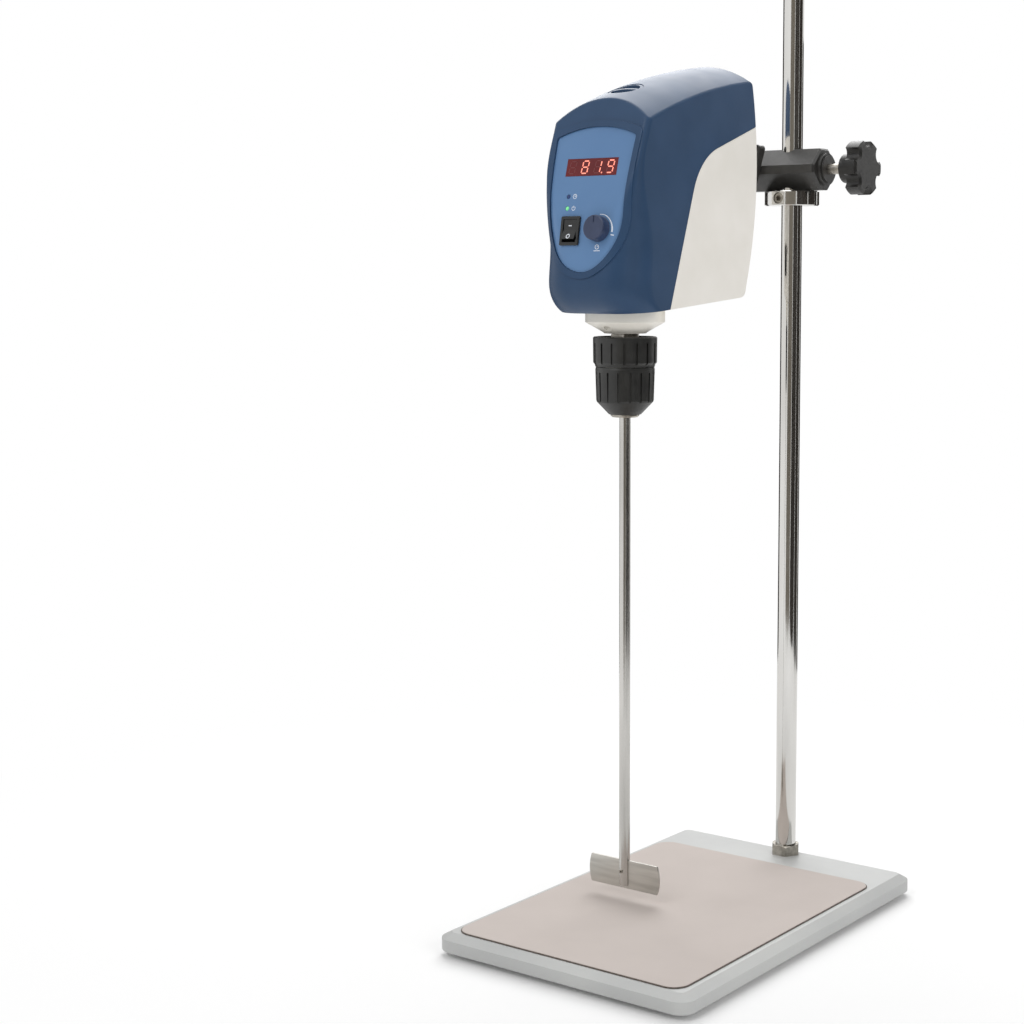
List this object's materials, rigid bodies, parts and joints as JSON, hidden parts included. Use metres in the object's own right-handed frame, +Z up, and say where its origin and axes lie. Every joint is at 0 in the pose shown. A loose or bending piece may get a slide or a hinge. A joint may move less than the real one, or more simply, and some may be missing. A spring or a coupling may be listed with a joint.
{
  "type": "overhead stirrer",
  "caption": "Laboratory overhead stirrer: motor head on a swivelling clamp and rod stand, keyless chuck and paddle shaft, flat base plate with a mat.",
  "frame": {"origin": "middle of the whole object's footprint, on the surface the feet stand on", "axes": "+Z up along the stand rod, -Y to the front where the control panel faces, +X to the side of the rod clamp's knob"},
  "size_m": [0.21, 0.3238, 0.817],
  "materials": {
    "plate_paint": "satin light grey paint",
    "mat_rubber": "matt beige-grey",
    "foot_rubber": "matt black",
    "polished_steel": "polished",
    "plain_steel": "turned",
    "black_casting": "satin black paint on a casting",
    "black_plastic": "satin black moulding",
    "slate_plastic": "satin slate blue moulding",
    "pale_plastic": "satin warm light grey moulding",
    "panel_plastic": "satin mid blue overlay",
    "window_plastic": "glossy dark red window",
    "knob_plastic": "satin dark blue moulding",
    "lamp_blue": "clear dark blue lens",
    "lamp_green": "lit green lens",
    "switch_plastic": "glossy black moulding",
    "board_laminate": "green circuit board",
    "cast_aluminium": "as cast",
    "collar_paint": "satin warm light grey paint",
    "turned_aluminium": "turned",
    "bearing_steel": "ground",
    "belt_rubber": "matt black",
    "motor_shell": "dark lacquer"
  },
  "bodies": {
    "stand": {"base_plate": "plate_paint", "base_mat": "mat_rubber", "base_feet": "foot_rubber", "foot_screws": "plain_steel", "stand_rod": "polished_steel", "rod_nut": "plain_steel", "rod_base_screw": "plain_steel", "rod_base_washer": "plain_steel"},
    "stop_ring": {"stop_ring": "polished_steel", "stop_ring_screw": "plain_steel"},
    "clamp": {"clamp_boss": "black_casting", "arm_jaw": "black_casting"},
    "rod_pad": {"rod_clamp_pad": "plain_steel"},
    "rod_knob": {"rod_clamp_screw": "plain_steel", "rod_clamp_knob": "black_plastic"},
    "arm_pad": {"arm_clamp_pad": "plain_steel"},
    "arm_knob": {"arm_clamp_screw": "plain_steel", "arm_clamp_knob": "black_plastic"},
    "head": {"mounting_arm": "polished_steel", "arm_screws": "plain_steel", "chassis": "cast_aluminium", "front_housing": "slate_plastic", "rear_cover": "pale_plastic", "cover_screws": "plain_steel", "control_panel": "panel_plastic", "display_window": "window_plastic", "display_module": "black_plastic", "main_board": "board_laminate", "board_screws": "plain_steel", "upper_lamp": "lamp_blue", "lower_lamp": "lamp_green", "power_switch": "switch_plastic", "speed_encoder": "black_plastic", "bearing_collar": "collar_paint", "collar_screws": "plain_steel", "upper_bearing": "bearing_steel", "lower_bearing": "bearing_steel", "motor": "motor_shell", "motor_screws": "plain_steel", "drive_belt": "belt_rubber", "power_inlet": "black_plastic"},
    "rocker": {"power_rocker": "switch_plastic"},
    "dial": {"speed_knob": "knob_plastic", "encoder_shaft": "turned_aluminium"},
    "port_cap": {"shaft_port_cap": "slate_plastic"},
    "spindle": {"spindle": "plain_steel", "spindle_pulley": "turned_aluminium", "chuck_body": "polished_steel", "chuck_rear_sleeve": "black_plastic", "chuck_lock_nut": "plain_steel"},
    "rotor": {"motor_shaft": "plain_steel", "motor_pulley": "turned_aluminium"},
    "chuck_sleeve": {"chuck_front_sleeve": "black_plastic", "chuck_nut_ring": "bearing_steel"},
    "jaw_1": {"chuck_jaw_1": "bearing_steel"},
    "jaw_2": {"chuck_jaw_2": "bearing_steel"},
    "jaw_3": {"chuck_jaw_3": "bearing_steel"},
    "paddle": {"stirrer_shaft": "polished_steel", "stirrer_blade": "plain_steel", "blade_screw": "plain_steel"}
  },
  "joints": [
    {"name": "ring_slide", "type": "slide", "parent": "stand", "child": "stop_ring", "axis": [0, 0, 1], "range_m": [-0.2, 0]},
    {"name": "head_swivel", "type": "hinge", "parent": "stand", "child": "clamp", "pos_m": [0, 0.144, 0.5531], "axis": [0, 0, 1], "continuous": true},
    {"name": "rod_pad_slide", "type": "slide", "parent": "clamp", "child": "rod_pad", "axis": [1, 0, 0], "range_m": [0, 0.0045]},
    {"name": "rod_knob_turn", "type": "hinge", "parent": "rod_pad", "child": "rod_knob", "pos_m": [0.04, 0.144, 0.5531], "axis": [1, 0, 0], "range_deg": [0, 1080]},
    {"name": "arm_pad_slide", "type": "slide", "parent": "clamp", "child": "arm_pad", "axis": [-1, 0, 0], "range_m": [0, 0.0045]},
    {"name": "arm_knob_turn", "type": "hinge", "parent": "arm_pad", "child": "arm_knob", "pos_m": [-0.078, 0.144, 0.5531], "axis": [-1, 0, 0], "range_deg": [0, 1080]},
    {"name": "arm_slide", "type": "slide", "parent": "clamp", "child": "head", "axis": [0, 1, 0], "range_m": [-0.005, 0.025]},
    {"name": "rocker_tilt", "type": "hinge", "parent": "head", "child": "rocker", "pos_m": [-0.0492, -0.0696, 0.50336], "axis": [1, 0, 0], "range_deg": [0, 18]},
    {"name": "dial_turn", "type": "hinge", "parent": "head", "child": "dial", "pos_m": [-0.0245, -0.07338, 0.505], "axis": [0, -0.9867, 0.1625], "range_deg": [-150, 150]},
    {"name": "port_cap_lift", "type": "slide", "parent": "head", "child": "port_cap", "axis": [0, 0, 1], "range_m": [0, 0.03]},
    {"name": "spindle_spin", "type": "hinge", "parent": "head", "child": "spindle", "pos_m": [-0.038, -0.0235, 0.47], "axis": [0, 0, 1], "continuous": true},
    {"name": "rotor_spin", "type": "hinge", "parent": "head", "child": "rotor", "pos_m": [-0.038, 0.036, 0.5], "axis": [0, 0, 1], "continuous": true},
    {"name": "sleeve_turn", "type": "hinge", "parent": "spindle", "child": "chuck_sleeve", "pos_m": [-0.038, -0.0235, 0.395], "axis": [0, 0, 1], "range_deg": [0, 1080]},
    {"name": "jaw_1_slide", "type": "slide", "parent": "spindle", "child": "jaw_1", "axis": [0, -0.2588, 0.9659], "range_m": [0, 0.0045]},
    {"name": "jaw_2_slide", "type": "slide", "parent": "spindle", "child": "jaw_2", "axis": [0.2241, 0.1294, 0.9659], "range_m": [0, 0.0045]},
    {"name": "jaw_3_slide", "type": "slide", "parent": "spindle", "child": "jaw_3", "axis": [-0.2241, 0.1294, 0.9659], "range_m": [0, 0.0045]},
    {"name": "paddle_slide", "type": "slide", "parent": "spindle", "child": "paddle", "axis": [0, 0, 1], "range_m": [0, 0.13]}
  ],
  "couplings": [
    {"joint": "rod_pad_slide", "follows": "rod_knob_turn", "m_per_rad": 0.0002387},
    {"joint": "arm_pad_slide", "follows": "arm_knob_turn", "m_per_rad": 0.0002387},
    {"joint": "rotor_spin", "follows": "spindle_spin", "ratio": 1.8182},
    {"joint": "jaw_1_slide", "follows": "sleeve_turn", "m_per_rad": 0.0002387},
    {"joint": "jaw_2_slide", "follows": "sleeve_turn", "m_per_rad": 0.0002387},
    {"joint": "jaw_3_slide", "follows": "sleeve_turn", "m_per_rad": 0.0002387}
  ]
}
